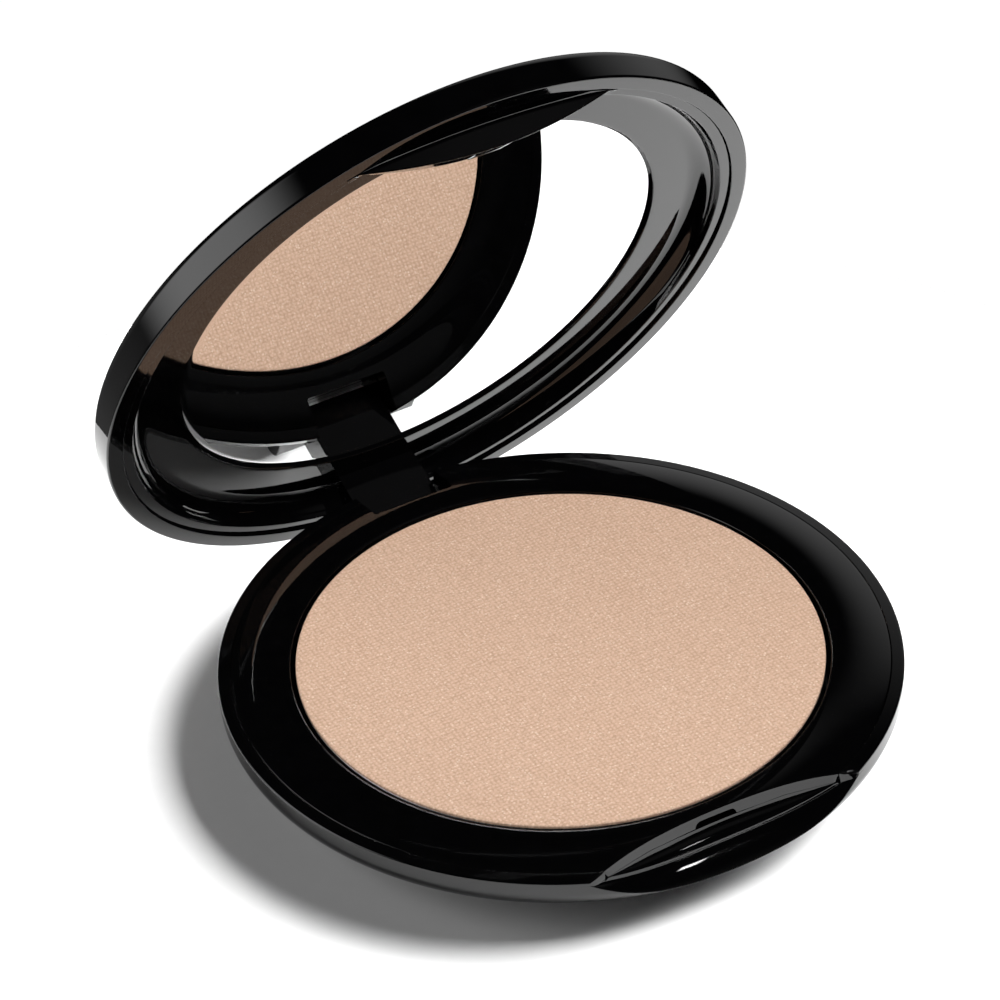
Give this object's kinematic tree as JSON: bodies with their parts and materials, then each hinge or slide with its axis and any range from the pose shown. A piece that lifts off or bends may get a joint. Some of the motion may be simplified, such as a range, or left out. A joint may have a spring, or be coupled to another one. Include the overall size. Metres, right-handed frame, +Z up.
{
  "type": "powder compact",
  "caption": "Round gloss-black pressed-powder compact: base with powder pan and thumb notch, hinged domed lid with a round mirror, shown open.",
  "frame": {"origin": "centre of the flat foot under the base, on the surface it rests on", "axes": "+Z up along the base's axis, +X along the hinge, +Y to the hinge at the back, -Y to the thumb notch"},
  "size_m": [0.0806, 0.0829, 0.0762],
  "materials": {
    "gloss_black": "polished black moulded plastic",
    "pan_metal": "pressed sheet, satin",
    "powder": "pressed cosmetic powder, matte with fine shimmer",
    "adhesive": "soft clear glue, satin",
    "label_paper": "blank coated paper sticker",
    "pin_steel": "drawn steel wire",
    "mirror_glass": "silvered glass with a bevelled edge"
  },
  "bodies": {
    "base": {"base_shell": "gloss_black", "base_frame": "gloss_black", "pan_adhesive": "adhesive", "powder_pan": "pan_metal", "powder_cake": "powder", "base_label": "label_paper", "hinge_pin": "pin_steel"},
    "lid": {"lid_shell": "gloss_black", "mirror_frame": "gloss_black", "mirror": "mirror_glass", "mirror_pad": "adhesive"}
  },
  "joints": [
    {"name": "lid_hinge", "type": "hinge", "parent": "base", "child": "lid", "pos_m": [0, 0.03547, 0.00322], "axis": [-1, 0, 0], "range_deg": [-67, 5]}
  ]
}
